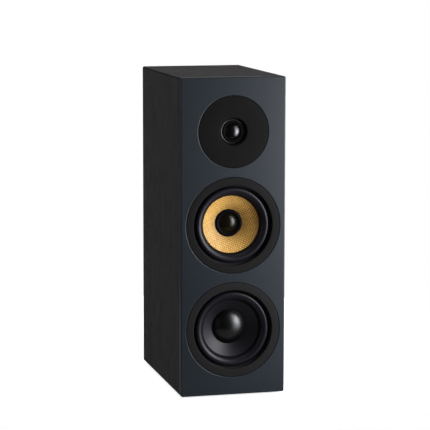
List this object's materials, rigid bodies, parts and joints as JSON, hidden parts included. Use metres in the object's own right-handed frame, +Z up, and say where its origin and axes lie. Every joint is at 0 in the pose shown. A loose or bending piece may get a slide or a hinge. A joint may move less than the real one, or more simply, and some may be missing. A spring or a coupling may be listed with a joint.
{
  "type": "bookshelf speaker",
  "caption": "Narrow free-standing speaker box with a dome tweeter, a woven-cone midrange and a woofer, a rear port and screw terminals.",
  "frame": {"origin": "middle of the footprint, on the floor under the rubber feet", "axes": "+Z up along the height; the drivers face -Y; +X to the right seen from behind the cabinet's front, that is on the viewer's right"},
  "size_m": [0.165, 0.27, 0.495],
  "materials": {
    "case_wrap": "black ash wrap, satin",
    "top_wrap": "black ash wrap, grain left to right",
    "front_lacquer": "satin lacquer on fibreboard",
    "fibreboard": "raw fibreboard",
    "trim_black": "fine-textured moulding",
    "moulded_black": "satin moulding",
    "basket_paint": "black powder coat on casting",
    "surround_rubber": "butyl rubber, satin",
    "foot_rubber": "matt rubber",
    "woven_cone": "woven aramid-like fibre, resin coated",
    "coated_paper": "coated black paper pulp",
    "dome_silk": "coated silk",
    "collar_rubber": "matt rubber",
    "centre_dome": "glossy smoked",
    "spider_cloth": "resin-treated cotton",
    "copper_wire": "enamelled copper",
    "ferrite": "sintered ferrite",
    "plated_steel": "zinc-plated steel",
    "black_screw": "black phosphated steel",
    "tinned_brass": "tinned brass",
    "gilt_brass": "gold-plated brass",
    "knob_red": "clear-coated red",
    "knob_black": "clear-coated black",
    "board_green": "glass-fibre board",
    "nylon": "natural nylon",
    "film_yellow": "wrapped film",
    "cement_white": "cement body",
    "wire_red": "insulated wire",
    "wadding": "polyester wadding"
  },
  "bodies": {
    "cabinet": {"left_panel": "case_wrap", "right_panel": "case_wrap", "bottom_panel": "case_wrap", "rear_panel": "case_wrap", "top_panel": "top_wrap", "front_panel": "front_lacquer", "inner_baffle": "fibreboard", "shelf_brace": "fibreboard", "tweeter_cover": "trim_black", "mid_trim_ring": "trim_black", "woofer_trim_ring": "trim_black", "mid_chamber": "moulded_black", "tweeter_frame": "moulded_black", "tweeter_rear_cap": "moulded_black", "port_tube": "moulded_black", "terminal_cup": "moulded_black", "mid_basket": "basket_paint", "woofer_basket": "basket_paint", "mid_surround": "surround_rubber", "woofer_surround": "surround_rubber", "rubber_feet": "foot_rubber", "tweeter_surround": "dome_silk", "mid_spider": "spider_cloth", "woofer_spider": "spider_cloth", "crossover_inductors": "copper_wire", "tweeter_magnet": "ferrite", "mid_magnet": "ferrite", "woofer_magnet": "ferrite", "tweeter_top_plate": "plated_steel", "tweeter_yoke": "plated_steel", "mid_top_plate": "plated_steel", "mid_yoke": "plated_steel", "woofer_top_plate": "plated_steel", "woofer_yoke": "plated_steel", "post_nuts": "plated_steel", "driver_screws": "black_screw", "cup_screws": "black_screw", "mid_terminals": "tinned_brass", "woofer_terminals": "tinned_brass", "positive_post": "gilt_brass", "negative_post": "gilt_brass", "crossover_board": "board_green", "crossover_standoffs": "nylon", "crossover_capacitors": "film_yellow", "crossover_resistors": "cement_white", "wiring_loom": "wire_red", "mid_wadding": "wadding"},
    "tweeter_diaphragm": {"tweeter_dome": "dome_silk", "tweeter_voice_coil": "copper_wire"},
    "mid_diaphragm": {"mid_cone": "woven_cone", "mid_cap_collar": "collar_rubber", "mid_cap_dome": "centre_dome", "mid_voice_coil": "copper_wire"},
    "woofer_diaphragm": {"woofer_cone": "coated_paper", "woofer_dust_cap": "coated_paper", "woofer_voice_coil": "copper_wire"},
    "positive_clamp": {"positive_washer": "gilt_brass"},
    "positive_turner": {"positive_knob": "knob_red"},
    "negative_clamp": {"negative_washer": "gilt_brass"},
    "negative_turner": {"negative_knob": "knob_black"}
  },
  "joints": [
    {"name": "tweeter_dome_travel", "type": "slide", "parent": "cabinet", "child": "tweeter_diaphragm", "axis": [0, -1, 0], "range_m": [-0.0005, 0.0005], "stiffness_N_per_m": 3000, "deforming": ["tweeter_surround"]},
    {"name": "mid_cone_travel", "type": "slide", "parent": "cabinet", "child": "mid_diaphragm", "axis": [0, -1, 0], "range_m": [-0.003, 0.003], "stiffness_N_per_m": 1400, "deforming": ["mid_surround", "mid_spider"]},
    {"name": "woofer_cone_travel", "type": "slide", "parent": "cabinet", "child": "woofer_diaphragm", "axis": [0, -1, 0], "range_m": [-0.004, 0.004], "stiffness_N_per_m": 1000, "deforming": ["woofer_surround", "woofer_spider"]},
    {"name": "positive_clamp_slide", "type": "slide", "parent": "cabinet", "child": "positive_clamp", "axis": [0, 1, 0], "range_m": [0, 0.004]},
    {"name": "positive_knob_turn", "type": "hinge", "parent": "positive_clamp", "child": "positive_turner", "pos_m": [-0.00953, 0.1225, 0.112], "axis": [0, 1, 0], "range_deg": [0, 1440]},
    {"name": "negative_clamp_slide", "type": "slide", "parent": "cabinet", "child": "negative_clamp", "axis": [0, 1, 0], "range_m": [0, 0.004]},
    {"name": "negative_knob_turn", "type": "hinge", "parent": "negative_clamp", "child": "negative_turner", "pos_m": [0.00953, 0.1225, 0.112], "axis": [0, 1, 0], "range_deg": [0, 1440]}
  ],
  "couplings": [
    {"joint": "positive_knob_turn", "follows": "positive_clamp_slide", "rad_per_m": 6283.2},
    {"joint": "negative_knob_turn", "follows": "negative_clamp_slide", "rad_per_m": 6283.2}
  ]
}
